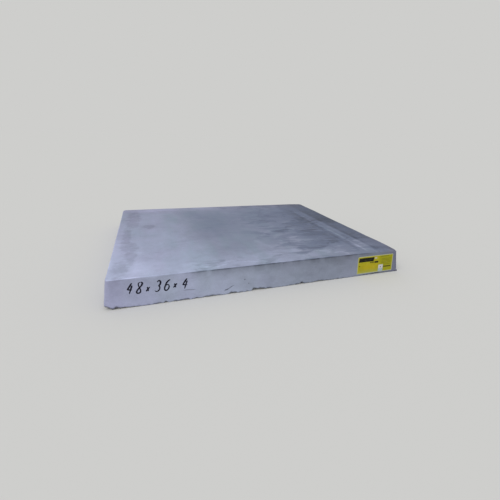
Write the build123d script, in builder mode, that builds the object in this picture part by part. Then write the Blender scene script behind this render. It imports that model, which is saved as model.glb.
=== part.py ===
"""Lightweight concrete equipment pad, 36 x 48 x 4 inches.

A block of expanded polystyrene is cased in glass-fibre reinforced cement: a structural backing coat
against the foam, open glass mesh over it, and a fine face coat outside. The cement covers the top and
the four sides and turns in under the foam as a rim. A printed label and a small batch sticker are stuck
to the front.

Frame: +X runs along the front from left to right, +Y towards the back, +Z up. The origin is the centre of
the underside. Millimetres.
"""

import os

from build123d import *

INCH = 25.4

# The pad
pad_length = 48 * INCH
pad_width = 36 * INCH
pad_height = 4 * INCH
draft = 16.0  # how far each side leans in over the full height, so that the pad leaves its mould
corner_radius = 30.0  # upright corners, at the base
top_edge_radius = 8.0

# The layers, each measured inward from the outer faces
face_depth = 4.0  # outside of the mesh that is wrapped over the edges
backing_depth = 5.0  # outside of the backing coat
foam_depth = 0.5 * INCH  # outside of the foam

# The glass mesh: two crossing sets of flat strands, one lying on the other
mesh_pitch = 0.5 * INCH
strand_width = 1.5
strand_layer = 0.5  # the room that one set of strands has
strand_gap = 0.02  # each strand's clearance from what is next to it
edge_mesh_reach = 170.0  # how far an edge mesh runs in over the top
mesh_lap = 65.0  # how far the top mesh lies over each edge mesh
mesh_foot = 12.0  # the mesh stops this far above the ground
corner_mesh_flat = 60.0  # how far a corner mesh runs along each side, past the rounded corner

# The cement rim under the foam
rim_width = 38.0

# Label and sticker, centred at these places on the front
label_size = (190.0, 76.0, 0.25)
label_x = 476.0
label_z = 47.0
sticker_size = (25.0, 30.0, 0.15)
sticker_from_label = (30.0, -21.0)  # from the label's centre, along the front and up it

# Worked out from those
draft_angle = Vector(0, 0, 1).get_angle(Vector(draft, 0, pad_height))
top_mesh_inset = edge_mesh_reach - mesh_lap
strand_thickness = strand_layer - 2 * strand_gap
outer_strands = face_depth + strand_gap  # depth of the outer set of strands in an edge or corner mesh
inner_strands = outer_strands + strand_layer


def lean(height):
    """How far a side stands in from its foot at this height."""
    return draft * height / pad_height


def inset_block(depth, foot=0.0):
    """The solid that lies `depth` inside the pad's top and sides, from `foot` up."""
    top = pad_height - depth
    inset = depth + lean(foot)
    with BuildPart() as block:
        with BuildSketch(Plane.XY.offset(foot)):
            RectangleRounded(pad_length - 2 * inset, pad_width - 2 * inset, corner_radius - inset)
        extrude(amount=top - foot, taper=draft_angle)
        if depth < top_edge_radius:
            fillet(block.faces().sort_by(Axis.Z)[-1].edges(), radius=top_edge_radius - depth)
    return block.part


def plate(inset, bottom, top):
    """A flat rectangular plate, `inset` in from the pad's base outline."""
    with BuildPart() as slab:
        with BuildSketch(Plane.XY.offset(bottom)):
            Rectangle(pad_length - 2 * inset, pad_width - 2 * inset)
        extrude(amount=top - bottom)
    return slab.part


def evenly(length, pitch):
    """Positions along a length, centred on it, a pitch apart."""
    count = int(length // pitch) + 1
    return [(i - (count - 1) / 2) * pitch for i in range(count)]


def save(piece, name):
    """Labels a finished piece and writes its STEP file."""
    piece.part.label = name
    export_step(piece.part, f"parts/{name}.step")


# ---------------------------------------------------------------- foam and cement


def make_foam_core():
    """The polystyrene block, rebated round its underside for the cement rim."""
    rim_depth = foam_depth - face_depth
    with BuildPart() as foam_core:
        add(inset_block(foam_depth))
        with BuildSketch(Plane.XY):
            Rectangle(pad_length, pad_width)
            Rectangle(
                pad_length - 2 * (foam_depth + rim_width),
                pad_width - 2 * (foam_depth + rim_width),
                mode=Mode.SUBTRACT,
            )
        extrude(amount=rim_depth, mode=Mode.SUBTRACT)
    return foam_core


def make_backing_coat(foam_core):
    """The structural cement. Its top is raised by one mesh thickness inside the edge meshes."""
    with BuildPart() as backing_coat:
        add(inset_block(backing_depth))
        add(plate(edge_mesh_reach, pad_height - foam_depth, pad_height - face_depth))
        add(foam_core.part, mode=Mode.SUBTRACT)
    return backing_coat


def make_face_coat():
    """The outer cement. It is thicker at its foot, below the mesh, and thinner over the top mesh."""
    top_of_top_mesh = pad_height - face_depth + 2 * strand_layer
    with BuildPart() as face_coat:
        add(inset_block(0))
        add(inset_block(backing_depth), mode=Mode.SUBTRACT)
        add(inset_block(face_depth, foot=mesh_foot), mode=Mode.SUBTRACT)
        add(plate(top_mesh_inset, pad_height - foam_depth, top_of_top_mesh), mode=Mode.SUBTRACT)
    return face_coat


# ---------------------------------------------------------------- glass mesh


def make_top_mesh():
    """The flat mesh over the top. It lies on the backing coat and laps over the edge meshes."""
    length = pad_length - 2 * top_mesh_inset
    width = pad_width - 2 * top_mesh_inset
    bottom = pad_height - face_depth + strand_gap
    with BuildPart() as top_mesh:
        with BuildSketch(Plane.XY.offset(bottom)):
            with Locations(*[(0, y) for y in evenly(width - strand_width, mesh_pitch)]):
                Rectangle(length, strand_width)
        extrude(amount=strand_thickness)
        with BuildSketch(Plane.XY.offset(bottom + strand_layer)):
            with Locations(*[(x, 0) for x in evenly(length - strand_width, mesh_pitch)]):
                Rectangle(strand_width, width)
        extrude(amount=strand_thickness)
    return top_mesh


def edge_plane(side, along):
    """A plane across one edge of the pad: x points inward, y up, and z along the edge.

    Its origin is on the base outline, `along` the edge from its middle.
    """
    inward = {
        "front": Vector(0, 1, 0),
        "back": Vector(0, -1, 0),
        "left": Vector(1, 0, 0),
        "right": Vector(-1, 0, 0),
    }[side]
    z_dir = inward.cross(Vector(0, 0, 1))
    half_depth = (pad_width if side in ("front", "back") else pad_length) / 2
    return Plane(origin=inward * -half_depth + z_dir * along, x_dir=inward, z_dir=z_dir)


def fold_line(depth, reach):
    """The line `depth` inside the pad, in an edge plane: over the top from `reach`, then down the side."""
    top = pad_height - depth
    return FilletPolyline(
        (reach, top),
        (depth + lean(top), top),
        (depth + lean(mesh_foot), mesh_foot),
        radius=top_edge_radius - depth,
    )


def folded_strands(planes, reach):
    """The sections of strands across an edge, on the top and down the side."""
    with BuildSketch(*planes) as strands:
        with BuildLine():
            outer = fold_line(outer_strands, reach)
            inner = fold_line(outer_strands + strand_thickness, reach)
            Line(outer @ 0, inner @ 0)
            Line(outer @ 1, inner @ 1)
        make_face()
    return strands.sketch


def make_edge_mesh(side):
    """The mesh strip that is folded over one edge, with a leg on the top and a leg down the side.

    The top legs of neighbouring strips meet in a mitre. The side legs stop at the corner meshes.
    """
    half_length = (pad_length if side in ("front", "back") else pad_width) / 2
    side_half = half_length - corner_radius - corner_mesh_flat - 2 * strand_width
    top_start = backing_depth + draft + top_edge_radius
    full_half = half_length - edge_mesh_reach
    across = evenly(2 * (half_length - top_start - strand_width), mesh_pitch)
    inner_top = pad_height - inner_strands

    with BuildPart() as edge_mesh:
        # Across the edge: whole strands, those that the mitre shortens, and those over a corner mesh
        whole = folded_strands([edge_plane(side, a) for a in across if abs(a) <= full_half], edge_mesh_reach)
        extrude(whole, amount=strand_width / 2, both=True)
        for a in [a for a in across if abs(a) > full_half]:
            reach = half_length - abs(a) - strand_width
            if abs(a) <= side_half:
                extrude(folded_strands([edge_plane(side, a)], reach), amount=strand_width / 2, both=True)
            elif reach > top_start + strand_width:
                with BuildSketch(edge_plane(side, a)):
                    with Locations((top_start, pad_height - outer_strands)):
                        Rectangle(reach - top_start, strand_thickness, align=(Align.MIN, Align.MAX))
                extrude(amount=strand_width / 2, both=True)
        # Along the edge, on the top
        span = edge_mesh_reach - top_start
        for u in evenly(span - strand_width, mesh_pitch):
            inward = top_start + span / 2 + u
            with BuildSketch(edge_plane(side, 0)):
                with Locations((inward, inner_top)):
                    Rectangle(strand_width, strand_thickness, align=(Align.CENTER, Align.MAX))
            extrude(amount=half_length - inward - strand_width, both=True)
        # Along the edge, on the side
        with BuildSketch(edge_plane(side, 0)):
            for height in side_heights():
                with Locations(Location((inner_strands + lean(height), height), -draft_angle)):
                    Rectangle(strand_thickness, strand_width, align=(Align.MIN, Align.CENTER))
        extrude(amount=side_half, both=True)
    return edge_mesh


def side_heights():
    """The heights of the level strands on a side."""
    top = pad_height - backing_depth - top_edge_radius
    return [(top + mesh_foot) / 2 + v for v in evenly(top - mesh_foot - strand_width, mesh_pitch)]


def corner_line(x_sign, y_sign, inset):
    """The line round one upright corner, `inset` inside the base outline."""
    x, y = pad_length / 2 - inset, pad_width / 2 - inset
    reach = corner_radius + corner_mesh_flat - inset
    points = [(x - reach, y), (x, y), (x, y - reach)]
    return FilletPolyline(
        *[(x_sign * px, y_sign * py) for px, py in points],
        radius=corner_radius - inset,
    )


def corner_planes(x_sign, y_sign):
    """Upright planes facing inward round one corner: along both flats and on the arc between them."""
    to_flats = [corner_radius + i * mesh_pitch for i in range(int(corner_mesh_flat // mesh_pitch) + 1)]
    places = []
    for f in to_flats:
        places.append(((pad_length / 2 - f, pad_width / 2), (0, 1)))
        places.append(((pad_length / 2, pad_width / 2 - f), (1, 0)))
    slant = 0.5**0.5
    centre = (pad_length / 2 - corner_radius, pad_width / 2 - corner_radius)
    places.append((tuple(c + slant * corner_radius for c in centre), (slant, slant)))
    planes = []
    for (x, y), (out_x, out_y) in places:
        inward = Vector(-x_sign * out_x, -y_sign * out_y, 0)
        z_dir = inward.cross(Vector(0, 0, 1))
        planes.append(Plane(origin=(x_sign * x, y_sign * y, 0), x_dir=inward, z_dir=z_dir))
    return planes


def make_corner_mesh(x_sign, y_sign):
    """The mesh patch folded round one upright corner, between the side legs of two edge meshes."""
    foot = mesh_foot + 5 * strand_gap
    top = pad_height - backing_depth - top_edge_radius
    # A level strand stays clear of the sides, which lean in a little over its height
    level_thickness = strand_thickness - lean(strand_width)
    with BuildPart() as corner_mesh:
        for height in side_heights():
            inset = outer_strands + lean(height + strand_width / 2)
            with BuildSketch(Plane.XY.offset(height - strand_width / 2)):
                with BuildLine():
                    outer = corner_line(x_sign, y_sign, inset)
                    inner = corner_line(x_sign, y_sign, inset + level_thickness)
                    Line(outer @ 0, inner @ 0)
                    Line(outer @ 1, inner @ 1)
                make_face()
            extrude(amount=strand_width)
        with BuildSketch(*corner_planes(x_sign, y_sign)):
            with Locations(Location((inner_strands + lean(foot), foot), -draft_angle)):
                Rectangle(strand_thickness, top - foot, align=(Align.MIN, Align.MIN))
        extrude(amount=strand_width / 2, both=True)
    return corner_mesh


# ---------------------------------------------------------------- label and sticker


def front_place(x, z, lift):
    """A plane lying on the front face, `lift` in front of it: x along the front, y up it."""
    outward = Vector(0, -1, 0).rotate(Axis.X, -draft_angle)
    on_face = Vector(x, -pad_width / 2 + lean(z), z)
    return Plane(origin=on_face + outward * lift, x_dir=(1, 0, 0), z_dir=outward)


def make_label():
    """The printed product label on the front."""
    with BuildPart() as product_label:
        with BuildSketch(front_place(label_x, label_z, 0)):
            RectangleRounded(label_size[0], label_size[1], 2)
        extrude(amount=label_size[2])
    return product_label


def make_sticker():
    """The small batch sticker, stuck over the label's lower edge."""
    with BuildPart() as batch_sticker:
        with BuildSketch(front_place(label_x, label_z, label_size[2])):
            with Locations(sticker_from_label):
                RectangleRounded(sticker_size[0], sticker_size[1], 1)
        extrude(amount=sticker_size[2])
    return batch_sticker


# ---------------------------------------------------------------- the assembly

os.makedirs("parts", exist_ok=True)

foam_core = make_foam_core()
save(foam_core, "foam_core")
save(make_backing_coat(foam_core), "backing_coat")
save(make_face_coat(), "face_coat")
save(make_top_mesh(), "top_mesh")
for side in ("front", "back", "left", "right"):
    save(make_edge_mesh(side), f"{side}_edge_mesh")
for x_sign, x_name in ((-1, "left"), (1, "right")):
    for y_sign, y_name in ((-1, "front"), (1, "back")):
        save(make_corner_mesh(x_sign, y_sign), f"{y_name}_{x_name}_corner_mesh")
save(make_label(), "product_label")
save(make_sticker(), "batch_sticker")
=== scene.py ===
"""The looks of a lightweight concrete equipment pad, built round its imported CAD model.

The frame is the CAD's: metres, +X along the front from left to right, +Y towards the back, +Z up, and the
origin at the centre of the underside. Four CAD nodes are replaced by pieces with the real surface: the face
coat, the backing coat, the label and its sticker. The foam and the glass mesh keep their CAD shape.
"""

import math

import bpy
import numpy as np
from mathutils import Matrix, Vector, noise


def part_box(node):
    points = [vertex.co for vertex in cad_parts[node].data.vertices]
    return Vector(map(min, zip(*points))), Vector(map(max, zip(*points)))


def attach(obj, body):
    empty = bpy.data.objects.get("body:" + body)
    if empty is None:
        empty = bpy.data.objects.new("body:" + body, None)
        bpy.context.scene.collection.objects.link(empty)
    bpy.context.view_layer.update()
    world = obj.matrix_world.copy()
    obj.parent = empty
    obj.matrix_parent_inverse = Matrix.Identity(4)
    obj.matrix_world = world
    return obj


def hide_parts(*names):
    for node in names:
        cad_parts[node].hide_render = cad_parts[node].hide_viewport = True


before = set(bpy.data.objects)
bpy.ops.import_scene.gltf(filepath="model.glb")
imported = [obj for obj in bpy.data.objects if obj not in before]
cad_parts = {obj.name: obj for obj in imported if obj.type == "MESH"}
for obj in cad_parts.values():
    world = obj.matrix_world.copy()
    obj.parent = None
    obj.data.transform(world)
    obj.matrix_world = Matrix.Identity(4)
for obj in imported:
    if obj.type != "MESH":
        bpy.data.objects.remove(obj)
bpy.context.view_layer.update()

MM = 0.001

# The pad, as the CAD has it
low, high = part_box("face_coat")
length, width, height = high - low
draft = 16 * MM  # how far each side leans in over the full height
corner_radius = 30 * MM
mesh_foot = 12 * MM  # the glass mesh stops this far above the ground
coat_depth = 5 * MM  # the face coat below the mesh
coat_depth_on_mesh = 4 * MM
coat_depth_on_lap = 3 * MM
foam_depth = 12.7 * MM
foam_rebate = 8.7 * MM
rim_width = 38 * MM
top_mesh_inset = 103 * MM

# How finely the skin is meshed
cells_along_x = 280
cells_along_y = 150
corner_cells = 6
edge_steps = 6  # rows round the top edge
last_x = cells_along_x + 2 * corner_cells  # the last indices of the top's grid
last_y = cells_along_y + 2 * corner_cells

# The centres of the upright corners' arcs
corner_x = length / 2 - corner_radius
corner_y = width / 2 - corner_radius


def smooth(start, end, value):
    """0 before start, 1 after end, and a smooth step between them."""
    t = min(1.0, max(0.0, (value - start) / (end - start)))
    return t * t * (3 - 2 * t)


def between(value, rise, full, fall, gone):
    """1 from full to fall, with a smooth step up to it from rise and another down from it to gone."""
    return smooth(rise, full, value) * (1 - smooth(fall, gone, value))


def hump(value, centre, reach):
    """A smooth hump of height 1 at centre, which has nearly faded out at twice its reach."""
    return math.exp(-(((value - centre) / reach) ** 2))


def wander(point, size, seed):
    """Smooth noise from about -1 to 1 at a point, with features of this size."""
    return noise.noise(Vector(point) / size + Vector((seed, -seed, 2.7 * seed)))


def lean(z):
    """How far a side stands in from its foot at this height."""
    return draft * z / height


# ---- the skin's shape
# Each function takes a foot point, which is a point of the base outline, and its outward direction.

# Chips out of the front foot: where each starts, is highest and ends, from the left, and its height
front_chips = (
    (0.030, 0.040, 0.115, 6.0 * MM),
    (0.170, 0.176, 0.190, 2.5 * MM),
    (0.190, 0.195, 0.202, 5.0 * MM),
    (0.285, 0.303, 0.309, 4.5 * MM),
    (0.320, 0.360, 0.412, 2.5 * MM),
    (0.420, 0.428, 0.465, 5.5 * MM),
    (0.506, 0.514, 0.595, 9.0 * MM),
    (0.698, 0.724, 0.733, 7.0 * MM),
    (0.770, 0.803, 0.862, 5.0 * MM),
    (0.970, 0.976, 0.990, 1.5 * MM),
    (1.050, 1.062, 1.076, 2.5 * MM),
    (1.080, 1.086, 1.114, 3.0 * MM),
    (1.118, 1.124, 1.164, 3.0 * MM),
)
most_gap = 10.5 * MM  # the foot stays below the end of the glass mesh
label_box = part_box("product_label")


def facing_front(outward):
    return smooth(0.6, 0.9, -outward.y)


def corner_share(outward):
    """0 on the straight sides, and 1 halfway round an upright corner."""
    return smooth(0.0, 0.75, min(abs(outward.x), abs(outward.y)) / math.sqrt(0.5))


def near_corner(foot, sign_x, reach):
    """1 at one of the front corners, fading out over this reach."""
    return hump((foot - Vector((sign_x * length / 2, -width / 2, 0))).length, 0, reach)


def lip_share(foot, outward):
    """How crisp the top edge is: 0 is well rounded, 1 is a sharp lip with a crease under it."""
    from_left = foot.x + length / 2
    patchy = 0.5 + 0.9 * wander(foot, 0.11, 3.1)
    along_front = between(from_left, 0.24, 0.34, 1.00, 1.08)
    on_front = along_front * (0.9 + 0.5 * wander(foot, 0.05, 8.3)) + 0.3 * patchy * (1 - along_front)
    share = facing_front(outward)
    lip = share * on_front + (1 - share) * 0.6 * patchy
    chipped = smooth(0.30, 0.50, wander(foot, 0.030, 12.3))
    return min(1.0, max(0.0, lip)) * (1 - corner_share(outward)) * (1 - 0.4 * chipped)


def edge_radius(foot, outward):
    """The radius of the top edge: small where there is a crisp lip, and largest at the front right."""
    at_front_right = near_corner(foot, 1, 55 * MM)
    at_front_left = near_corner(foot, -1, 45 * MM)
    rounding = 8.5 - 6.5 * lip_share(foot, outward) + 2.5 * corner_share(outward)
    rounding += 5 * at_front_right - 5 * at_front_left
    return min(13.0, rounding) * MM


def chip(value, start, peak, end):
    """A sharp hump: 0 at its start and end, and 1 at its peak."""
    return max(0.0, min((value - start) / (peak - start), (end - value) / (end - peak)))


def foot_gap(foot, outward):
    """How far the skin's ragged foot stands above the ground."""
    on_front = facing_front(outward)
    coarse = 1.2 * wander(foot, 0.070, 1.7) + 2.2 * wander(foot, 0.022, 4.2)
    coarse += 4.0 * smooth(0.30, 0.38, wander(foot, 0.03, 9.9))
    fine = 2.4 * wander(foot, 0.008, 6.4) + 0.8 * wander(foot, 0.003, 2.6)
    ragged = 1.5 - 0.9 * on_front + coarse * (1 - 0.7 * on_front) + fine * (1 - 0.2 * on_front)
    gap = max(0.0, ragged) * MM
    for start, peak, end, rise in front_chips:
        gap += on_front * rise * chip(foot.x + length / 2, start, peak, end)
    gap += 13 * MM * near_corner(foot, -1, 20 * MM)
    return min(most_gap, gap * (1 - near_corner(foot, 1, 40 * MM)))


def label_share(x, z, outward):
    """1 under the label, where the skin is flat, and 0 well away from it."""
    (left, _, bottom), (right, _, top) = label_box
    margin = 12 * MM
    inside_x = between(x, left - margin, left, right, right + margin)
    inside_z = between(z, bottom - margin, bottom, top, top + margin)
    return facing_front(outward) * inside_x * inside_z


def room_outside(foot, outward):
    """How far a foot point can move outward before it leaves the CAD's box."""
    room_x = (length / 2 - abs(foot.x)) / max(abs(outward.x), 0.01)
    room_y = (width / 2 - abs(foot.y)) / max(abs(outward.y), 0.01)
    return min(room_x, room_y)


def side_inward(foot, outward, z):
    """How far the skin's side lies inside the CAD's side at this height."""
    point = Vector((foot.x, foot.y, z))
    waves = (
        0.75
        + 0.8 * wander(point, 0.22, 2.3)
        + 0.50 * wander(point, 0.06, 5.9)
        + 0.28 * wander(point, 0.017, 7.7)
        + 0.14 * wander(point, 0.006, 0.4)
    )
    waves = max(0.05, waves * (1 - 0.9 * label_share(foot.x, z, outward)))
    lip = lip_share(foot, outward)
    crease_height = height - (4.6 + 1.2 * wander(foot, 0.07, 2.2)) * MM
    crease = lip * (2.3 + 1.4 * wander(foot, 0.03, 5.1)) * hump(z, crease_height, 1.9 * MM)
    hollow = lip * 1.1 * hump(z, height - 11 * MM, 6 * MM)
    above_foot = max(0.0, z - foot_gap(foot, outward))
    broken = 0.8 + 1.4 * wander(foot, 0.02, 3.3) + 1.2 * wander(foot, 0.007, 1.9)
    worn = max(0.0, broken) * (1 - smooth(0, 5 * MM, above_foot)) ** 2
    rounded_foot = 6.0 * near_corner(foot, -1, 24 * MM) * (1 - smooth(0, 11 * MM, above_foot)) ** 2
    burr = near_corner(foot, 1, 45 * MM) * (1 - smooth(4 * MM, 9 * MM, z))
    squared = 0.05 + 0.43 * (1 - smooth(0, 100 * MM, z)) + 0.36 * burr
    squared += 0.25 * near_corner(foot, -1, 30 * MM) * between(z, 2 * MM, 16 * MM, 20 * MM, 50 * MM)
    calm = 1 - 0.85 * max(near_corner(foot, 1, 60 * MM), near_corner(foot, -1, 40 * MM))
    inward = waves * calm + crease + hollow + worn * calm + rounded_foot
    return inward * MM - squared * room_outside(foot, outward)


def ridge_share(x, y):
    """1 along the two low ridges near the right edge, where the glass mesh laps under the skin."""
    from_right = length / 2 - x + 2.5 * MM * wander((x, y, 0), 0.12, 4.8)
    from_back = width / 2 - y
    inner = hump(from_right, (174 - 8 * smooth(0.45, 0.65, from_back)) * MM, 5 * MM)
    inner *= between(from_back, 0.20, 0.25, 0.86, 0.89)
    inner *= 0.6 + 0.6 * smooth(0.38, 0.44, from_back)
    outer = hump(from_right, (139 - 16 * smooth(0.30, 0.85, from_back)) * MM, 5 * MM)
    outer *= between(from_back, 0.19, 0.24, 0.80, 0.86)
    outer *= 0.3 + 0.6 * smooth(0.66, 0.74, from_back)
    patchy = 0.85 + 0.6 * wander((x, y, 0), 0.035, 6.1)
    return max(0.0, (inner + outer) * patchy)


def lap_band(x, y):
    """1 on the slightly raised band between the two ridges."""
    from_right = length / 2 - x
    from_back = width / 2 - y
    outer_side = (126 - 12 * smooth(0.30, 0.85, from_back)) * MM
    across = between(from_right, outer_side - 6 * MM, outer_side + 6 * MM, 164 * MM, 180 * MM)
    return across * between(from_back, 0.17, 0.25, 0.86, 0.90)


# Where the trowel left off, along the left edge: from the left, from the back, and the reach each way
left_patches = (
    (0.082, 0.22, 0.034, 0.16),
    (0.155, 0.37, 0.026, 0.034),
    (0.060, 0.52, 0.018, 0.17),
    (0.076, 0.63, 0.034, 0.05),
    (0.084, 0.71, 0.022, 0.09),
    (0.058, 0.82, 0.028, 0.08),
)


def left_strip(x, y):
    """1 on the rough patches along the left edge, where the trowel left off."""
    from_left = x + length / 2
    from_back = width / 2 - y
    strip = 0.0
    for patch_x, patch_y, reach_x, reach_y in left_patches:
        strip = max(strip, hump(from_left, patch_x, reach_x) * hump(from_back, patch_y, reach_y))
    coarse = 0.7 * wander((x, y, 0), 0.030, 2.9)
    fine = 0.6 * wander((x, y, 0), 0.011, 7.7)
    return smooth(0.14, 0.56, strip * (0.9 + coarse + fine))


def top_drop(x, y):
    """How far the skin's top lies below the CAD's top."""
    point = (x, y, 0)
    trowelled = (x / 5, y, 0)
    drop = (
        1.15
        + 0.40 * wander(point, 0.30, 6.6)
        + 0.12 * wander(trowelled, 0.035, 2.4)
        + 0.16 * wander(point, 0.05, 8.8)
        + 0.06 * wander(trowelled, 0.012, 5.5)
        + 0.08 * wander(point, 0.014, 3.7)
    )
    drop -= 0.85 * ridge_share(x, y) + 0.35 * lap_band(x, y)
    drop += 0.35 * left_strip(x, y)
    edge = min(length / 2 - abs(x), width / 2 - abs(y))
    drop -= 0.35 * hump(edge, 22 * MM, 12 * MM)
    # The right margin falls away towards its edge, and most at its front corner
    drop += 2.2 * (1 - smooth(20 * MM, 115 * MM, length / 2 - x))
    drop += 2.5 * hump(math.hypot(length / 2 - 20 * MM - x, y + width / 2 - 20 * MM), 0, 28 * MM)
    return max(0.0, drop) * MM


# ---- the skin's colour


# How light the cement is from left to right, on the top and on the front: partly its own tone, partly painted
# light that falls off from the left, with a painted sheen on the left of the top
top_stations = (0.00, 0.04, 0.12, 0.30, 0.40, 0.50, 0.62, 0.75, 0.90, 1.00, 1.09, 1.105, 1.22)
top_tones = (0.40, 0.38, 0.37, 0.34, 0.26, 0.24, 0.26, 0.235, 0.185, 0.165, 0.165, 0.14, 0.135)
side_stations = (0.0, 0.1, 0.3, 0.5, 0.7, 0.85, 1.0, 1.12, 1.22)
side_tones = (0.41, 0.42, 0.45, 0.42, 0.33, 0.305, 0.285, 0.24, 0.17)

# Lighter and darker clouds on the top, some of the light ones at the left a painted sheen: from the left,
# from the back, the reach each way, and the change
top_clouds = (
    (0.50, 0.04, 0.12, 0.10, 0.25),
    (0.92, 0.06, 0.10, 0.12, 0.30),
    (0.05, 0.14, 0.06, 0.14, -0.15),
    (0.02, 0.70, 0.05, 0.22, 0.16),
    (0.11, 0.85, 0.06, 0.07, 0.22),
    (0.93, 0.60, 0.10, 0.15, -0.15),
    (0.55, 0.86, 0.25, 0.08, 0.27),
    (1.17, 0.38, 0.09, 0.16, -0.27),
    (1.03, 0.65, 0.09, 0.06, -0.19),
    (0.99, 0.55, 0.06, 0.08, 0.22),
    (0.95, 0.86, 0.06, 0.05, 0.14),
)


def top_tone(x, y):
    from_left = x + length / 2
    straight = smooth(0.94, 1.02, from_left)  # the bands beside the ridges don't wander
    warped_left = from_left + 24 * MM * wander((x, y, 0), 0.15, 9.1) * (1 - straight)
    warped_back = width / 2 - y + 30 * MM * wander((x, y, 0), 0.12, 2.8)
    tone = float(np.interp(warped_left, top_stations, top_tones))
    tone *= 0.93 + 0.27 * smooth(0.35, 0.90, warped_back)
    change = 0.0
    for cloud_x, cloud_y, reach_x, reach_y, amount in top_clouds:
        change += amount * hump(warped_left, cloud_x, reach_x) * hump(warped_back, cloud_y, reach_y)
    tone *= 1 + change
    tone *= 1 - 0.17 * left_strip(x, y)
    # Painted highlight along the two ridges and a lighter band between them; painted shade in the strips just
    # beside the ridges
    tone *= 1 + 0.32 * min(1.2, ridge_share(x, y)) + 0.16 * lap_band(x, y)
    from_right = length / 2 - x
    from_back = width / 2 - y
    beside_ridges = hump(from_right, 194 * MM, 10 * MM) + hump(from_right, 106 * MM, 9 * MM)
    beside_ridges *= max(0.2, 0.8 + 0.9 * wander((x, y, 0), 0.05, 1.6))
    beside_ridges *= between(from_back, 0.2, 0.3, 0.82, 0.88)
    return tone * (1 - 0.20 * beside_ridges)


def side_tone(point, foot, outward):
    from_left = foot.x + length / 2
    tone = float(np.interp(from_left, side_stations, side_tones))
    damp_above = smooth(0.25, 0.45, from_left) * facing_front(outward)
    tone *= 1.02 + damp_above * (0.08 - 0.22 * point.z / height)
    # Painted shade along the ragged foot: darker just above where it meets the ground, and darker still in
    # patches a few millimetres higher
    above_foot = point.z - foot_gap(foot, outward)
    tone *= 0.80 + 0.20 * smooth(-1 * MM, 4 * MM, above_foot + 2.5 * MM * wander(point, 0.009, 5.3))
    foot_shade_patches = smooth(-0.05, 0.25, wander(foot, 0.060, 3.4) + 0.6 * wander(foot, 0.012, 8.1))
    tone *= 1 - 0.55 * foot_shade_patches * (1 - smooth(2 * MM, 7 * MM, above_foot))
    # Painted shade under the top edge's lip: a wide, patchy darker band below it and a dark line in the
    # crease just under it
    lip = lip_share(foot, outward)
    lip_shade_patches = 0.85 + 0.4 * wander(foot, 0.04, 7.4) + 0.25 * wander(foot, 0.011, 3.6)
    tone *= 1 - 0.30 * lip * lip_shade_patches * hump(point.z, height - 12 * MM, 12 * MM)
    return tone * (1 - 0.58 * lip * min(1.15, lip_shade_patches) * hump(point.z, height - 5.0 * MM, 2.8 * MM))


def skin_tone(point, foot, outward, on_side):
    """How light the cement is: dry and pale at the left, damp and dark towards the right, with painted light
    falling off from the left and a painted highlight along the top edge.
    """
    tone = top_tone(point.x, point.y)
    if on_side:
        tone += (side_tone(point, foot, outward) - tone) * on_side
        # Lighter along the rounded top edge: partly worn cement, partly a painted highlight, strongest at the
        # chipped lip near the front left
        chipped_and_lit_lip = hump(point.x + length / 2, 95 * MM, 26 * MM) * facing_front(outward)
        worn_and_highlit_rim = hump(on_side, 0.15, 0.3) * max(0.0, 0.5 + 0.8 * wander(point, 0.03, 2.1) + chipped_and_lit_lip)
        tone *= 1 + 0.34 * worn_and_highlit_rim
    return tone


def scuff_share(point, on_side):
    """How blotchy the skin is here: the trowel dragged most near the right, the front and the back."""
    from_left = point.x + length / 2
    from_back = width / 2 - point.y
    right = smooth(0.50, 0.80, from_left) * (1 - 0.4 * smooth(1.10, 1.18, from_left))
    right *= 0.45 + 0.55 * smooth(0.2, 0.45, from_back)
    front = 0.8 * smooth(0.76, 0.86, from_back) * smooth(0.2, 0.35, from_left)
    back = 0.6 * (1 - smooth(0.06, 0.14, from_back))
    top = max(0.15, right, front, back, 0.25 * left_strip(point.x, point.y))
    return top + (0.22 - top) * on_side


def violet_share(point, on_side):
    """Where the cement looks violet rather than slate: along the back, and most at the front's ends."""
    from_left = point.x + length / 2 + 60 * MM * wander((point.x, point.y, 0), 0.15, 5.7)
    from_back = width / 2 - point.y
    left = 1 - smooth(0.16, 0.36, from_left)
    left_end = 1 - smooth(0.02, 0.12, from_left)
    right = 0.9 * smooth(1.08, 1.16, from_left) * smooth(0.55, 0.80, from_back)
    back = 0.7 * (1 - smooth(0.02, 0.16, from_back))
    ends = 0.45 * left + 0.5 * left_end * on_side + right * (0.45 + 0.55 * on_side) + back
    ends += 0.12 * left_strip(point.x, point.y)
    return min(1.0, max(0.0, ends + (0.25 + 0.25 * on_side) * wander(point, 0.09, 8.5)))


# ---- building the shells


def grid_vertex(i, j):
    """The centre, the outward direction and the share of a vertex of the top's grid.

    Its place is centre + outward * share * radius, with the share 1 on the outline and 0 inside.
    """

    def along(index, cells, half):
        from_start = index - corner_cells
        if from_start < 0:
            return -half, -1, -from_start / corner_cells
        if from_start > cells:
            return half, 1, (from_start - cells) / corner_cells
        return -half + 2 * half * from_start / cells, 0, 0.0

    x, sign_x, share_x = along(i, cells_along_x, corner_x)
    y, sign_y, share_y = along(j, cells_along_y, corner_y)
    centre = Vector((x, y, 0))
    if not (share_x and share_y):
        return centre, Vector((sign_x, sign_y, 0)), share_x or share_y
    quarter = math.pi / 4
    if share_x >= share_y:
        angle = quarter * share_y / share_x
    else:
        angle = 2 * quarter - quarter * share_x / share_y
    outward = Vector((sign_x * math.cos(angle), sign_y * math.sin(angle), 0))
    return centre, outward, max(share_x, share_y)


def border(last_i, last_j):
    """The indices of a grid's outline, anticlockwise from its first corner."""
    front = [(i, 0) for i in range(last_i)]
    right = [(last_i, j) for j in range(last_j)]
    back = [(i, last_j) for i in range(last_i, 0, -1)]
    left = [(0, j) for j in range(last_j, 0, -1)]
    return front + right + back + left


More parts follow.
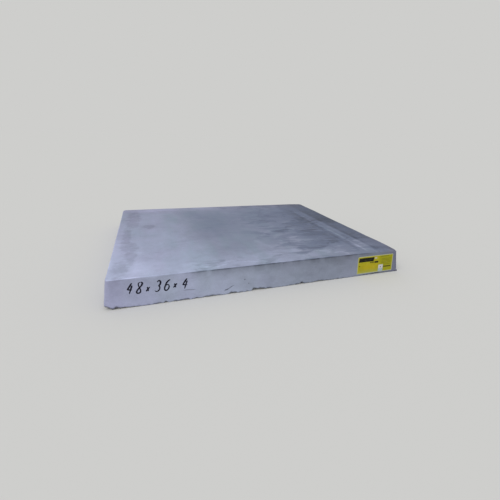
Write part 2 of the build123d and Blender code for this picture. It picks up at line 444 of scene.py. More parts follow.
def columns():
    """For each place round the outline, its foot point, outward direction and centre of curvature."""
    found = []
    for i, j in border(last_x, last_y):
        centre, outward, _ = grid_vertex(i, j)
        found.append((centre + outward * corner_radius, outward, centre))
    return found


def top_edge_rows(foot, outward):
    """The rounded top edge of one column, as (inset, z, share of the way from top to side)."""
    radius = edge_radius(foot, outward)
    slope = math.atan(draft / height)
    centre_z = height - radius
    centre_inset = lean(centre_z) + radius / math.cos(slope)
    rows = []
    for step in range(edge_steps + 1):
        angle = math.pi / 2 + (slope - math.pi / 2) * step / edge_steps
        inset = centre_inset - radius * math.cos(angle)
        rows.append((inset, centre_z + radius * math.sin(angle), step / edge_steps))
    return rows


def skin_point(foot, outward, inset, z, on_side):
    """A point of the skin's outside, pushed in from the CAD's surface."""
    pushed = inset + side_inward(foot, outward, z) * smooth(0.1, 0.7, on_side)
    place = foot - outward * pushed
    drop = top_drop(place.x, place.y) * (1 - smooth(0.5, 1.0, on_side))
    return Vector((place.x, place.y, z - drop))


def side_steps():
    """Where a column's rows lie between the top edge (0) and the foot (1): closer near both ends."""
    steps = [0.0]
    for count, gap in ((8, 0.016), (23, 0.033), (6, 0.0188)):
        start = steps[-1]
        steps += [start + gap * k for k in range(1, count + 1)]
    return steps[1:]


def inner_ring_point(column, inset, z):
    """A point inside the pad, on the rounded outline that lies `inset` inside the base outline."""
    _, outward, centre = column
    radius = max(1 * MM, corner_radius - inset)
    x = centre.x * (length / 2 - inset - radius) / corner_x + outward.x * radius
    y = centre.y * (width / 2 - inset - radius) / corner_y + outward.y * radius
    return Vector((x, y, z))


def edge_row(column, step):
    """A column's point on one row of the rounded top edge, and how much it belongs to the side."""
    foot, outward, _ = column
    inset, z, on_side = top_edge_rows(foot, outward)[step]
    return skin_point(foot, outward, inset, z, on_side), smooth(0.2, 0.9, on_side)


def side_row(column, share_down):
    """A column's point on the side, this share of the way down from the top edge to the ragged foot."""
    foot, outward, _ = column
    top = top_edge_rows(foot, outward)[-1][1]
    bottom = foot_gap(foot, outward)
    z = top + (bottom - top) * share_down
    return skin_point(foot, outward, lean(z), z, 1.0), 1.0


def foot_row(column):
    """The underside of the skin's ragged foot, just inside its outer edge."""
    foot, outward, _ = column
    z = foot_gap(foot, outward)
    up = 0.5 * MM * (1 + wander(foot, 0.01, 4.4))
    return skin_point(foot, outward, lean(z) + 1.5 * MM, z, 1.0) + Vector((0, 0, up)), 1.0


def inside_row(column, inset, z):
    """The skin's inside, which starts just above its foot where z is None."""
    own_z = foot_gap(column[0], column[1]) + 1 * MM if z is None else z
    return inner_ring_point(column, inset, own_z), 1.0


def bridge(rings):
    """The faces between each ring of vertex indices and the next one."""
    faces = []
    for upper, lower in zip(rings, rings[1:]):
        for k in range(len(upper)):
            after = (k + 1) % len(upper)
            faces.append((upper[k], lower[k], lower[after], upper[after]))
    return faces


def new_piece(name, vertices, faces, material, crisp_degrees=None):
    """A mesh object of the pad's root body, smooth shaded."""
    mesh = bpy.data.meshes.new(name)
    mesh.from_pydata([tuple(v) for v in vertices], [], faces)
    mesh.validate()
    mesh.shade_smooth()
    if crisp_degrees:
        mesh.set_sharp_from_angle(angle=math.radians(crisp_degrees))
    mesh.materials.append(material)
    piece = bpy.data.objects.new(name, mesh)
    bpy.context.scene.collection.objects.link(piece)
    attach(piece, "root")
    return piece


def set_attribute(piece, name, values):
    piece.data.attributes.new(name, "FLOAT", "POINT").data.foreach_set("value", values)


def make_skin(material):
    """The face coat: a wavy, trowelled top, sides with a lip and a crease, and a ragged foot."""
    vertices = []
    tones = []
    sides = []
    at = {}

    # The top, up to where its edge starts to round off
    for i in range(last_x + 1):
        for j in range(last_y + 1):
            centre, outward, share = grid_vertex(i, j)
            foot = centre + outward * corner_radius
            reach = 0.0
            if share:
                inset = top_edge_rows(foot, outward)[0][0]
                reach = share * (corner_radius - inset)
            place = centre + outward * reach
            drop = top_drop(place.x, place.y)
            at[i, j] = len(vertices)
            vertices.append(Vector((place.x, place.y, height - drop)))
            tones.append(skin_tone(vertices[-1], foot, outward, 0.0))
            sides.append(0.0)
    faces = []
    for i in range(last_x):
        for j in range(last_y):
            faces.append((at[i, j], at[i + 1, j], at[i + 1, j + 1], at[i, j + 1]))

    # The edge, the side and the foot, and then the inside back up to the top
    rings = [[at[index] for index in border(last_x, last_y)]]
    feet = columns()

    def add_ring(row, *place_in_column):
        ring = []
        for column in feet:
            place, on_side = row(column, *place_in_column)
            ring.append(len(vertices))
            vertices.append(place)
            tones.append(skin_tone(place, column[0], column[1], on_side))
            sides.append(on_side)
        rings.append(ring)

    for step in range(1, edge_steps + 1):
        add_ring(edge_row, step)
    for share_down in side_steps():
        add_ring(side_row, share_down)
    add_ring(foot_row)
    fold = 4 * MM  # how far in and down the glass mesh starts to fold over the edge
    fold_middle = 1.2 * MM
    inner_top = height - coat_depth_on_mesh
    coat_inside = [
        (coat_depth, None),
        (coat_depth + lean(mesh_foot), mesh_foot),
        (coat_depth_on_mesh + lean(mesh_foot), mesh_foot),
        (coat_depth_on_mesh + lean(inner_top - fold), inner_top - fold),
        (coat_depth_on_mesh + lean(height) + fold_middle, inner_top - fold_middle),
        (coat_depth_on_mesh + lean(height) + fold, inner_top),
        (top_mesh_inset, inner_top),
        (top_mesh_inset, height - coat_depth_on_lap),
    ]
    for inset, z in coat_inside:
        add_ring(inside_row, inset, z)
    faces += bridge(rings)
    faces.append(tuple(rings[-1]))
    skin = new_piece("concrete_skin", vertices, faces, material)
    set_attribute(skin, "tone", tones)
    set_attribute(skin, "scuff", [scuff_share(v, side) for v, side in zip(vertices, sides)])
    set_attribute(skin, "violet", [violet_share(v, side) for v, side in zip(vertices, sides)])
    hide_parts("face_coat")


def rim_point(column, inset):
    """A point of the rim's rough underside: it follows the skin's foot near the outside."""
    place = inner_ring_point(column, inset, 0)
    coarse = 1.3 * wander(place, 0.03, 8.1)
    fine = 0.8 * wander(place, 0.010, 2.6) + 0.4 * wander(place, 0.004, 1.3)
    place.z = max(0.0, 1.4 + coarse + fine) * MM
    place.z += foot_gap(column[0], column[1]) * (1 - smooth(0, 26 * MM, inset))
    return place


def make_backing(material):
    """The backing coat: a plain shell inside the skin, with the rough rim that it turns under the foam."""
    vertices = []
    rings = []
    feet = columns()
    rim_inner = foam_depth + rim_width
    rim_steps = 12
    rim = [coat_depth + 0.1 * MM + (rim_inner - coat_depth) * k / rim_steps for k in range(rim_steps + 1)]
    outside = [
        (foam_depth + lean(height), height - coat_depth),
        (coat_depth + lean(height) + 3 * MM, height - coat_depth),
        (coat_depth + lean(height) + 0.4 * MM, height - coat_depth - 1.5 * MM),
        (coat_depth + lean(mesh_foot), mesh_foot),
    ]
    inside = [
        (rim_inner, foam_rebate),
        (foam_depth + lean(foam_rebate), foam_rebate),
        (foam_depth + lean(height - foam_depth), height - foam_depth),
    ]

    def add_ring(points):
        rings.append(list(range(len(vertices), len(vertices) + len(points))))
        vertices.extend(points)

    for inset, z in outside:
        add_ring([inner_ring_point(column, inset, z) for column in feet])
    for inset in rim:
        add_ring([rim_point(column, inset) for column in feet])
    for inset, z in inside:
        add_ring([inner_ring_point(column, inset, z) for column in feet])
    faces = bridge(rings)
    faces.append(tuple(reversed(rings[0])))
    faces.append(tuple(rings[-1]))
    backing = new_piece("backing_shell", vertices, faces, material, crisp_degrees=50)
    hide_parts("backing_coat")


# ---- what is stuck and written on the front

front_outward = Vector((0, -1, 0))


def front_y(x, z):
    """Where the skin's front surface is, at this place along the front and at this height."""
    foot = Vector((x, -width / 2, 0))
    return -width / 2 + lean(z) + side_inward(foot, front_outward, z)


glue_gap = 0.02 * MM  # between the skin and what is stuck to it


def make_film(name, node, material, thickness, corner, lifted, cells, under=0.0):
    """A thin sheet stuck to the front, with rounded corners and edges that lift a little."""
    (left, _, bottom), (right, _, top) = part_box(node)
    film_width = right - left
    film_height = top - bottom
    cells_x, cells_z = cells
    vertices = []
    uvs = []
    for skin_side in (1, 0):
        for i in range(cells_x + 1):
            for j in range(cells_z + 1):
                s = i / cells_x
                t = j / cells_z
                x = left + film_width * s
                z = bottom + film_height * t
                # Round the corners off by drawing the outermost points in
                dx = max(0.0, abs(x - (left + right) / 2) - film_width / 2 + corner)
                dz = max(0.0, abs(z - (bottom + top) / 2) - film_height / 2 + corner)
                if dx > 0 and dz > 0:
                    pull = max(dx, dz) / math.hypot(dx, dz)
                    x += math.copysign(dx * (1 - pull), (left + right) / 2 - x)
                    z += math.copysign(dz * (1 - pull), (bottom + top) / 2 - z)
                lift = under + lifted(s, t) + (glue_gap if skin_side else thickness)
                vertices.append(Vector((x, front_y(x, z) - lift, z)))
                uvs.append((s, t))
    per_side = (cells_x + 1) * (cells_z + 1)

    def index(i, j, outside):
        return outside * per_side + i * (cells_z + 1) + j

    faces = []
    for i in range(cells_x):
        for j in range(cells_z):
            quad = [(i, j), (i + 1, j), (i + 1, j + 1), (i, j + 1)]
            faces.append(tuple(index(a, b, 1) for a, b in quad))
            faces.append(tuple(index(a, b, 0) for a, b in reversed(quad)))
    edge = border(cells_x, cells_z)
    for (a, b), (c, d) in zip(edge, edge[1:] + edge[:1]):
        faces.append((index(a, b, 0), index(c, d, 0), index(c, d, 1), index(a, b, 1)))
    film = new_piece(name, vertices, faces, material, crisp_degrees=50)
    layer = film.data.uv_layers.new(name="print")
    for loop in film.data.loops:
        layer.data[loop.index].uv = uvs[loop.vertex_index]
    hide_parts(node)


def label_lift(s, t):
    """Small air bubbles under the label, and corners that have come away."""
    bubbles = 0.16 * max(0.0, noise.noise(Vector((s * 9, t * 4, 3.3))))
    top_left = 1.3 * hump(math.hypot(s, 0.4 * (1 - t)), 0, 0.05)
    bottom_right = 0.5 * hump(math.hypot(1 - s, 0.4 * t), 0, 0.05)
    return (bubbles + top_left + bottom_right) * MM


def arc(centre_x, centre_z, radius_x, radius_z, start, end, steps=14):
    """Points along part of an ellipse, with its angles in degrees."""
    points = []
    for step in range(steps + 1):
        angle = math.radians(start + (end - start) * step / steps)
        points.append((centre_x + radius_x * math.cos(angle), centre_z + radius_z * math.sin(angle)))
    return points


def line(*corners, steps=6):
    """Points along straight runs between corners."""
    points = [corners[0]]
    for (x0, z0), (x1, z1) in zip(corners, corners[1:]):
        points += [(x0 + (x1 - x0) * k / steps, z0 + (z1 - z0) * k / steps) for k in range(1, steps + 1)]
    return points


def character_strokes(character):
    """The pen strokes of one character of the size note, in a box 0.6 wide and 1 high."""
    if character == "4":
        return [line((0.40, 1.0), (0.04, 0.42), (0.62, 0.36)), line((0.50, 0.78), (0.36, 0.0))]
    if character == "8":
        loops = []
        for step in range(41):
            turn = 2 * math.pi * step / 40
            loops.append((0.30 + 0.24 * math.sin(2 * turn), 0.5 + 0.5 * math.cos(turn)))
        return [loops]
    if character == "3":
        return [arc(0.26, 0.75, 0.24, 0.24, 150, -80) + arc(0.26, 0.26, 0.28, 0.26, 80, -150)]
    if character == "6":
        return [arc(0.62, 0.30, 0.58, 0.70, 100, 180) + arc(0.31, 0.27, 0.27, 0.27, 180, 530, steps=20)]
    return [line((0.06, 0.22), (0.50, 0.72)), line((0.08, 0.74), (0.46, 0.20))]


pen_width = 5.2 * MM
ink_thickness = 0.12 * MM
ink_sunk = 0.15 * MM  # how far the ink reaches into the skin


def pen_stroke(points, vertices, faces):
    """Adds one flat, closed ribbon of ink that follows these (x, z) points on the front."""
    count = len(points)
    first = len(vertices)
    for k, (x, z) in enumerate(points):
        before = points[max(0, k - 1)]
        after = points[min(count - 1, k + 1)]
        along = Vector((after[0] - before[0], after[1] - before[1]))
        across = Vector((-along.y, along.x)).normalized()
        share = k / (count - 1)
        end_taper = min(1.0, 0.35 + 6 * min(share, 1 - share))
        rough = 1 + 0.22 * wander((x, 0, z), 0.009, 3.9)
        half = pen_width / 2 * end_taper * rough * (1.15 - 0.45 * share)
        for lift in (-ink_sunk, ink_thickness):
            for sign in (-1, 1):
                px = x + sign * across.x * half
                pz = z + sign * across.y * half
                vertices.append(Vector((px, front_y(px, pz) - lift, pz)))
    for k in range(count - 1):
        here = first + 4 * k
        there = here + 4
        for a, b in ((0, 1), (1, 3), (3, 2), (2, 0)):
            faces.append((here + a, here + b, there + b, there + a))
    faces.append((first, first + 2, first + 3, first + 1))
    last = first + 4 * (count - 1)
    faces.append((last, last + 1, last + 3, last + 2))


def make_size_marking(material):
    """The pad's size in plain numbers, written with a marker near the left end of the front."""
    text = "48x36x4"
    digit_height = 37 * MM
    cross_height = 29 * MM
    start_x = -length / 2 + 74 * MM
    baseline = 46 * MM
    fall = 0.6 * MM  # how far the line of writing drops with each character
    pitch = 29.5 * MM
    narrow = 0.72
    slant = 0.28
    vertices = []
    faces = []
    for place, character in enumerate(text):
        letter_height = cross_height if character == "x" else digit_height
        sway = 4 * MM * wander((place, 0, 0), 1.7, 6.2)
        left = start_x + place * pitch
        bottom = baseline - sway - place * fall
        for points in character_strokes(character):
            slanted = []
            for px, pz in points:
                x = left + (px * narrow + slant * pz) * letter_height
                z = bottom + pz * letter_height
                slanted.append((x + 0.8 * MM * wander((x, 0, z), 0.02, 1.2), z))
            pen_stroke(slanted, vertices, faces)
    marking = new_piece("size_marking", vertices, faces, material, crisp_degrees=40)


# ---- materials


class Paint:
    """A material's node tree, with one short method for each kind of node used here."""

    def __init__(self, name):
        self.material = bpy.data.materials.new(name)
        self.material.use_nodes = True
        self.tree = self.material.node_tree
        self.shader = self.tree.nodes["Principled BSDF"]
        self.place = self.node("TexCoord").outputs["Object"]

    def put(self, socket, value):
        if isinstance(value, bpy.types.NodeSocket):
            self.tree.links.new(value, socket)
        else:
            socket.default_value = value

    def node(self, kind, inputs=None, **settings):
        """A new node with these settings, and with these inputs by name or number."""
        made = self.tree.nodes.new("ShaderNode" + kind)
        for name, value in settings.items():
            setattr(made, name, value)
        for name, value in (inputs or {}).items():
            self.put(made.inputs[name], value)
        return made

    def attribute(self, name):
        return self.node("Attribute", attribute_name=name).outputs["Fac"]

    def uv(self, name):
        split = self.node("SeparateXYZ", {0: self.node("UVMap", uv_map=name).outputs[0]})
        return split.outputs["X"], split.outputs["Y"]

    def axis(self, name):
        return self.node("SeparateXYZ", {0: self.place}).outputs[name]

    def noise(self, size, detail=3.0, rough=0.55, stretch=(1, 1, 1), twist=0.0):
        """Noise from 0 to 1, with features of this size in metres."""
        place = self.node("Mapping", {"Vector": self.place, "Scale": stretch}).outputs["Vector"]
        inputs = {"Vector": place, "Scale": 1 / size, "Detail": detail, "Roughness": rough}
        return self.node("TexNoise", {**inputs, "Distortion": twist}).outputs["Fac"]

    def cells(self, size, feature="F1", output="Distance"):
        inputs = {"Vector": self.place, "Scale": 1 / size}
        return self.node("TexVoronoi", inputs, feature=feature).outputs[output]

    def cell_chance(self, size):
        """A number from 0 to 1 that is the same all over each cell."""
        return self.node("SeparateColor", {0: self.cells(size, output="Color")}).outputs[0]

    def math(self, operation, a, b=0.5):
        return self.node("Math", {0: a, 1: b}, operation=operation).outputs[0]

    def times(self, *factors):
        product = factors[0]
        for factor in factors[1:]:
            product = self.math("MULTIPLY", product, factor)
        return product

    def most(self, *values):
        largest = values[0]
        for value in values[1:]:
            largest = self.math("MAXIMUM", largest, value)
        return largest

    def without(self, value):
        """1 where the value is 0, and 0 where it is 1."""
        return self.math("SUBTRACT", 1.0, value)

    def fade(self, value, start, end, low=0.0, high=1.0):
        """low before start, high after end, and a smooth step between them."""
        inputs = {"Value": value, "From Min": start, "From Max": end, "To Min": low, "To Max": high}
        return self.node("MapRange", inputs, interpolation_type="SMOOTHSTEP").outputs["Result"]

    def mix(self, share, a, b, blend="MIX"):
        """Colour a, changed by this share towards or by colour b."""
        inputs = {0: share}
        for number, colour in ((6, a), (7, b)):
            inputs[number] = (*colour, 1.0) if isinstance(colour, tuple) else colour
        return self.node("Mix", inputs, data_type="RGBA", blend_type=blend).outputs[2]

    def relief(self, *layers):
        """Relief from (pattern, depth in metres, strength) layers, each laid over the one before."""
        below = None
        for pattern, depth, strength in layers:
            inputs = {"Strength": strength, "Distance": depth, "Height": pattern}
            if below is not None:
                inputs["Normal"] = below
            below = self.node("Bump", inputs).outputs["Normal"]
        return below

    def finish(self, colour, roughness, relief, specular=None):
        """Links the shader, and returns the finished material."""
        self.put(self.shader.inputs["Base Color"], colour)
        self.put(self.shader.inputs["Roughness"], roughness)
        self.put(self.shader.inputs["Normal"], relief)
        if specular is not None:
            self.shader.inputs["Specular IOR Level"].default_value = specular
        return self.material

    def sparse_dots(self, size, radius, chance):
        """1 inside small round dots: one in each of a share of the cells."""
        inside = self.fade(self.cells(size), radius / size, 0.55 * radius / size)
        chosen = self.math("LESS_THAN", self.cell_chance(size), chance)
        return self.times(inside, chosen)

    def scratch(self, start, end, half_width):
        """1 along a thin line on the front, between two (x, z) places."""
        (x0, z0), (x1, z1) = start, end
        run = math.hypot(x1 - x0, z1 - z0)
        along_x = (x1 - x0) / run
        along_z = (z1 - z0) / run
        x = self.math("SUBTRACT", self.axis("X"), x0)
        z = self.math("SUBTRACT", self.axis("Z"), z0)
        along = self.math("ADD", self.times(x, along_x), self.times(z, along_z))
        across = self.math("SUBTRACT", self.times(z, along_x), self.times(x, along_z))
        bend = self.times(self.math("SUBTRACT", self.noise(0.02), 0.5), 5 * MM)
        off_line = self.math("ABSOLUTE", self.math("ADD", across, bend))
        on_line = self.fade(off_line, half_width, 0.3 * half_width)
        within = self.times(self.fade(along, 0.0, 0.2 * run), self.fade(along, run, 0.7 * run))
        front = self.math("LESS_THAN", self.axis("Y"), -width / 2 + draft + 2 * MM)
        return self.times(on_line, within, front)


def skin_cement():
    """Fine face cement: blue-grey, clouded and smeared by the trowel, with pinholes and sand."""
    paint = Paint("face_cement")
    tone = paint.attribute("tone")
    scuff = paint.attribute("scuff")
    clouds = paint.noise(0.16, detail=5, rough=0.6, twist=0.6)
    mottle = paint.noise(0.035, detail=6, rough=0.65, twist=0.4)
    streaks = paint.noise(0.022, detail=4, rough=0.6, stretch=(0.16, 1, 1))
    grain = paint.noise(0.0035, detail=4, rough=0.7)
    sand = paint.noise(0.0011, detail=2, rough=0.6)
    damp = paint.fade(paint.noise(0.062, detail=6, rough=0.6, stretch=(0.5, 1, 1), twist=1.0), 0.50, 0.60)
    stains = paint.fade(paint.noise(0.13, detail=5, rough=0.55, stretch=(0.55, 1, 1), twist=0.8), 0.49, 0.56)
    smears = paint.fade(paint.noise(0.048, detail=6, rough=0.62, stretch=(0.36, 1, 1), twist=0.7), 0.54, 0.64)
    wipes = paint.fade(paint.noise(0.0055, detail=3, rough=0.6, stretch=(0.07, 1, 1), twist=0.2), 0.60, 0.70)
    pinholes = paint.sparse_dots(0.012, 0.9 * MM, 0.22)
    pores = paint.sparse_dots(0.030, 1.9 * MM, 0.12)
    # Specks are gouged only in one patch of the front, which fades in at each of its four sides
    specks = paint.sparse_dots(0.012, 3.4 * MM, 0.8)
    patch_sides = (("X", -0.178, -0.165), ("X", -0.098, -0.112), ("Z", 0.054, 0.048), ("Z", 0.028, 0.034))
    for axis, outside, inside in patch_sides:
        specks = paint.times(specks, paint.fade(paint.axis(axis), outside, inside))
    flecks = paint.sparse_dots(0.007, 0.5 * MM, 0.15)
    first_scratch = paint.scratch((-0.357, 0.038), (-0.305, 0.034), 1.3 * MM)
    second_scratch = paint.scratch((-0.210, 0.013), (-0.165, 0.034), 1.9 * MM)
    gouge = paint.scratch((-0.205, 0.017), (-0.190, 0.021), 3.6 * MM)
    on_top = paint.fade(paint.axis("Z"), height - 6 * MM, height - 3 * MM)
    dragged = paint.times(on_top, scuff)
    bands = paint.noise(0.07, detail=4, rough=0.5, stretch=(1, 0.22, 1))

    # Each pattern makes the cement lighter or darker by its share of the tone
    patterns = (
        (clouds, 0.5, 0.30, None),
        (mottle, 0.5, 0.34, None),
        (bands, 0.5, 0.22, on_top),
        (streaks, 0.5, 0.24, dragged),
        (stains, 0.3, -0.18, scuff),
        (damp, 0.2, -0.24, scuff),
        (smears, 0.1, 0.24, scuff),
        (wipes, 0.0, 0.10, dragged),
        (grain, 0.5, 0.24, None),
        (sand, 0.5, 0.18, None),
    )
    swing = 1.0
    for pattern, middle, weight, where in patterns:
        change = paint.times(paint.math("SUBTRACT", pattern, middle), weight)
        if where is not None:
            change = paint.times(change, where)
        swing = paint.math("ADD", change, swing)
    value = paint.times(tone, swing)

    # Violet-grey at both ends, slate blue-grey between them
    drift = paint.fade(paint.noise(0.11, detail=3, stretch=(1, 0.4, 1)), 0.38, 0.62)
    slate = paint.mix(drift, (0.840, 1.00, 1.33), (0.905, 1.00, 1.39))
    slate = paint.mix(paint.times(paint.without(on_top), 0.8), slate, (0.900, 1.00, 1.29))
    damp_and_dark = paint.times(paint.fade(value, 0.30, 0.14), on_top)
    slate = paint.mix(damp_and_dark, slate, (0.835, 1.00, 1.52))
    tint = paint.mix(paint.attribute("violet"), slate, (0.965, 1.00, 1.44))
    grey = paint.mix(1.0, tint, value, blend="MULTIPLY")
    # Pinholes, pores, specks and scratches painted nearly black: painted shade inside the hollows
    hollow = paint.most(pinholes, pores, specks, first_scratch, second_scratch, gouge)
    grey = paint.mix(paint.times(hollow, 0.7), grey, (0.05, 0.055, 0.075))
    grey = paint.mix(paint.times(flecks, 0.35), grey, (0.62, 0.64, 0.74))

    roughness = paint.fade(paint.math("ADD", mottle, paint.times(grain, 0.5)), 0.5, 1.0, 0.52, 0.82)
    relief = paint.relief(
        (mottle, 0.5 * MM, 0.5),
        (paint.times(streaks, dragged), 0.35 * MM, 0.5),
        (grain, 0.35 * MM, 0.7),
        (sand, 0.12 * MM, 0.7),
        (paint.without(hollow), 0.8 * MM, 0.8),
    )
    return paint.finish(grey, roughness, relief, specular=0.25)


def backing_cement():
    """Coarser grey cement with short glass fibres in it."""
    paint = Paint("backing_cement")
    clouds = paint.noise(0.05, detail=5, rough=0.65)
    grain = paint.noise(0.004, detail=4, rough=0.7)
    fibres = paint.noise(0.0022, detail=2, stretch=(0.14, 1, 0.5), twist=2.5)
    other_fibres = paint.noise(0.0022, detail=2, stretch=(1, 0.14, 0.5), twist=2.5)
    strands = paint.fade(paint.most(fibres, other_fibres), 0.66, 0.74)
    shade = paint.times(clouds, paint.fade(grain, 0.2, 0.8, 0.7, 1.25))
    grey = paint.mix(paint.fade(shade, 0.2, 0.75), (0.13, 0.135, 0.15), (0.33, 0.34, 0.37))
    grey = paint.mix(paint.times(strands, 0.5), grey, (0.60, 0.61, 0.60))
    relief = paint.relief((clouds, 1.5 * MM, 0.6), (grain, 0.9 * MM, 0.9), (strands, 0.3 * MM, 0.6))
    return paint.finish(grey, paint.fade(grain, 0.2, 0.8, 0.75, 0.95), relief)


def bead_foam():
    """Expanded polystyrene: fused beads of a few millimetres, cut flat."""
    paint = Paint("bead_foam")
    bead = 4.2 * MM
    seams = paint.fade(paint.cells(bead, feature="DISTANCE_TO_EDGE"), 0.0, 0.16)
    domes = paint.fade(paint.cells(bead), 0.0, 0.75, 1.0, 0.0)
    white = paint.mix(paint.cell_chance(bead), (0.80, 0.81, 0.82), (0.90, 0.91, 0.92))
    dust = paint.fade(paint.noise(0.07, detail=4), 0.5, 0.75, 0.0, 0.25)
    white = paint.mix(dust, white, (0.52, 0.53, 0.56))
    white = paint.mix(paint.times(paint.without(seams), 0.35), white, (0.45, 0.46, 0.5))
    pits = paint.noise(0.0015, detail=2)
    relief = paint.relief((domes, 0.8 * MM, 0.5), (seams, 0.6 * MM, 0.7), (pits, 0.15 * MM, 0.4))
    return paint.finish(white, paint.fade(seams, 0.0, 1.0, 0.85, 0.55), relief)


def glass_strands():
    """Coated glass yarn, dusted with cement."""
    paint = Paint("glass_mesh")
    filaments = paint.noise(0.0006, detail=2, stretch=(1, 1, 0.5), twist=0.3)
    dust = paint.fade(paint.noise(0.01, detail=4), 0.42, 0.7)
    pale = paint.mix(filaments, (0.62, 0.66, 0.60), (0.86, 0.88, 0.83))
    pale = paint.mix(dust, pale, (0.40, 0.41, 0.44))
    relief = paint.relief((filaments, 0.1 * MM, 0.6), (dust, 0.1 * MM, 0.5))
    return paint.finish(pale, paint.fade(dust, 0.0, 1.0, 0.32, 0.85), relief)


def printed_box(paint, u, v, left, right, bottom, top, soft=0.004):
    """1 inside a printed rectangle, in shares of the label's width and height."""
    across = paint.times(paint.fade(u, left - soft, left + soft), paint.fade(u, right + soft, right - soft))
    up = paint.times(paint.fade(v, bottom - soft, bottom + soft), paint.fade(v, top + soft, top - soft))
    return paint.times(across, up)


def label_film():
    """A yellow printed film: a pale border, a dark bar, a darker panel with fine lines, and dashes."""
    paint = Paint("label_film")
    u, v = paint.uv("print")
    fibres = paint.noise(0.002, detail=3, rough=0.6)
    scuffs = paint.fade(paint.noise(0.012, detail=5, rough=0.7), 0.60, 0.72)
    dirt = paint.noise(0.03, detail=4, rough=0.6)

    paper = paint.mix(fibres, (0.48, 0.50, 0.28), (0.62, 0.64, 0.40))
    field = printed_box(paint, u, v, 0.012, 0.988, 0.030, 0.970, soft=0.003)
    yellow = paint.mix(paint.fade(dirt, 0.3, 0.7), (0.38, 0.34, 0.008), (0.50, 0.45, 0.014))
    warm = printed_box(paint, u, v, 0.12, 0.55, 0.18, 0.55, soft=0.12)
    yellow = paint.mix(paint.times(warm, 0.6), yellow, (0.54, 0.42, 0.012))
    yellow = paint.mix(paint.fade(v, 0.30, 0.02, 0.0, 0.75), yellow, (0.44, 0.44, 0.085))
    colour = paint.mix(field, paper, yellow)

    # The right panel is deeper, and its left side slants
    slanted = paint.math("ADD", u, paint.times(v, 0.07))
    panel = printed_box(paint, slanted, v, 0.655, 1.10, 0.034, 0.966, soft=0.003)
    panel = paint.times(panel, field)
    colour = paint.mix(panel, colour, (0.37, 0.355, 0.004))

    def marks(boxes, soft=0.004):
        """1 inside any of these (left, right, bottom, top) boxes."""
        return paint.most(*(printed_box(paint, u, v, *box, soft=soft) for box in boxes))

    lines = [(0.67, 0.945, level - 0.011, level + 0.011) for level in (0.76, 0.68, 0.60, 0.52, 0.42)]
    lines.append((0.645, 0.87, 0.895, 0.925))
    colour = paint.mix(paint.times(marks(lines, soft=0.006), 0.8), colour, (0.10, 0.10, 0.004))
    colour = paint.mix(paint.times(marks([(0.47, 0.535, 0.80, 0.91)]), 0.7), colour, (0.62, 0.56, 0.50))
    sheared = paint.math("ADD", u, paint.times(v, -0.06))
    black = printed_box(paint, sheared, v, -0.012, 0.400, 0.675, 0.915)
    dashes = [(0.475, 0.580, 0.560, 0.660), (0.050, 0.072, 0.42, 0.47)]
    dashes += [(left, left + 0.028, 0.585, 0.645) for left in (0.350, 0.392, 0.434)]
    black = paint.most(black, marks(dashes))
    worn = paint.without(paint.times(scuffs, 0.2))
    colour = paint.mix(paint.times(black, worn), colour, (0.008, 0.008, 0.002))
    low_bar = marks([(0.735, 0.955, 0.245, 0.320)])
    colour = paint.mix(paint.times(low_bar, 0.85), colour, (0.050, 0.042, 0.002))
    colour = paint.mix(paint.times(scuffs, 0.15), colour, (0.55, 0.55, 0.45))
    colour = paint.mix(paint.fade(dirt, 0.55, 0.8, 0.0, 0.2), colour, (0.30, 0.31, 0.26))

    roughness = paint.fade(paint.math("ADD", scuffs, dirt), 0.3, 1.3, 0.36, 0.70)
    relief = paint.relief((fibres, 0.04 * MM, 0.5), (dirt, 0.3 * MM, 0.4))
    return paint.finish(colour, roughness, relief, specular=0.15)


def sticker_paper():
    """A small white sticker with a pale blue foot and one dark spot."""
    paint = Paint("sticker_paper")
    u, v = paint.uv("print")
    fibres = paint.noise(0.0015, detail=3, rough=0.6)
    white = paint.mix(fibres, (0.58, 0.57, 0.58), (0.74, 0.73, 0.74))
    blue = printed_box(paint, u, v, 0.0, 1.0, -0.1, 0.42, soft=0.02)
    colour = paint.mix(paint.times(blue, 0.8), white, (0.34, 0.47, 0.52))
    spot = printed_box(paint, u, v, 0.36, 0.60, 0.58, 0.72, soft=0.03)
    rule = printed_box(paint, u, v, 0.15, 0.80, 0.44, 0.47, soft=0.02)
    colour = paint.mix(paint.most(spot, paint.times(rule, 0.4)), colour, (0.13, 0.09, 0.22))
    relief = paint.relief((fibres, 0.03 * MM, 0.5))
    return paint.finish(colour, paint.fade(fibres, 0.2, 0.8, 0.45, 0.62), relief, specular=0.25)


def marker_ink():
    """Dry marker ink on rough cement, thinner on the high spots."""
    paint = Paint("marker_ink")
    grain = paint.noise(0.0022, detail=4, rough=0.7)
    pooled = paint.noise(0.012, detail=3)
    thin = paint.fade(paint.math("ADD", grain, paint.times(pooled, 0.4)), 0.80, 0.95)
    black = paint.mix(pooled, (0.006, 0.006, 0.014), (0.018, 0.018, 0.036))
    black = paint.mix(paint.times(thin, 0.4), black, (0.12, 0.13, 0.19))
    relief = paint.relief((grain, 0.2 * MM, 0.6))
    return paint.finish(black, paint.fade(grain, 0.2, 0.8, 0.5, 0.8), relief, specular=0.12)


# ---- stage, light and camera


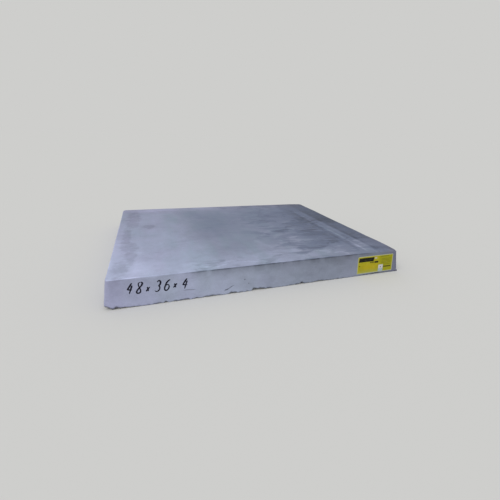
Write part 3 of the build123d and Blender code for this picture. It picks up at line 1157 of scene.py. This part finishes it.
def make_stage():
    """A round pale floor, wide enough for its edge to be lost against the sky."""
    around = 128
    radii = (2.0, 6.0, 18.0, 60.0)
    grey = (0.694, 0.694, 0.689, 1.0)
    vertices = [(0.0, 0.0, 0.0)]
    for radius in radii:
        for k in range(around):
            angle = 2 * math.pi * k / around
            vertices.append((radius * math.cos(angle), radius * math.sin(angle), 0.0))
    rings = [[1 + ring * around + k for k in range(around)] for ring in range(len(radii))]
    faces = [(0, rings[0][k], rings[0][(k + 1) % around]) for k in range(around)]
    mesh = bpy.data.meshes.new("stage_floor")
    mesh.from_pydata(vertices, [], faces + bridge(rings))
    floor = bpy.data.objects.new("stage_floor", mesh)
    bpy.context.scene.collection.objects.link(floor)
    paint = Paint("stage_floor")
    for socket, value in (("Base Color", grey), ("Roughness", 1.0), ("Specular IOR Level", 0.0)):
        paint.shader.inputs[socket].default_value = value
    mesh.materials.append(paint.material)


def make_light():
    """An even pale sky, as bright as the floor looks under it, and one very soft high light."""
    sky_grey = (0.617, 0.617, 0.604, 1.0)
    towards_light = Vector((-0.55, -0.25, 1.0))
    softness = math.radians(40)
    world = bpy.data.worlds.new("studio")
    bpy.context.scene.world = world
    world.use_nodes = True
    background = world.node_tree.nodes["Background"]
    background.inputs["Color"].default_value = sky_grey
    background.inputs["Strength"].default_value = 1.0
    light = bpy.data.lights.new("high_light", "SUN")
    light.energy = 1.0
    light.angle = softness
    high_light = bpy.data.objects.new("high_light", light)
    high_light.rotation_euler = towards_light.to_track_quat("Z", "Y").to_euler()
    bpy.context.scene.collection.objects.link(high_light)


def make_camera():
    """A wide lens close to the front left of the pad, a little above it and tilted slightly."""
    place = (-0.433, -1.286, 0.540)
    yaw = math.radians(19.49)  # to the right of straight ahead
    pitch = math.radians(22.72)  # down
    roll = math.radians(2.70)
    data = bpy.data.cameras.new("camera")
    data.sensor_width = 36.0
    data.lens = 19.66
    data.shift_x = 0.012
    data.clip_start = 0.05
    camera = bpy.data.objects.new("camera", data)
    bpy.context.scene.collection.objects.link(camera)
    ahead = Vector((math.sin(yaw) * math.cos(pitch), math.cos(yaw) * math.cos(pitch), -math.sin(pitch)))
    level = ahead.cross(Vector((0, 0, 1))).normalized()
    above = level.cross(ahead)
    right = level * math.cos(roll) + above * math.sin(roll)
    up = -level * math.sin(roll) + above * math.cos(roll)
    turn = Matrix((right, up, -ahead)).transposed()
    camera.matrix_world = Matrix.Translation(place) @ turn.to_4x4()
    bpy.context.scene.camera = camera


def repaint(nodes, material):
    """Gives CAD nodes that keep their shape a material of their own."""
    for node in nodes:
        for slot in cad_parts[node].material_slots:
            slot.material = material


make_skin(skin_cement())
make_backing(backing_cement())
repaint(["foam_core"], bead_foam())
repaint([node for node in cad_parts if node.endswith("_mesh")], glass_strands())
make_film(
    "label_sheet",
    "product_label",
    label_film(),
    thickness=0.25 * MM,
    corner=3 * MM,
    lifted=label_lift,
    cells=(76, 30),
)
make_film(
    "batch_tag",
    "batch_sticker",
    sticker_paper(),
    thickness=0.15 * MM,
    corner=1 * MM,
    lifted=lambda s, t: 0.05 * MM,
    cells=(16, 20),
    under=0.30 * MM,
)
make_size_marking(marker_ink())
make_stage()
make_light()
make_camera()
bpy.context.scene.view_settings.view_transform = "Standard"
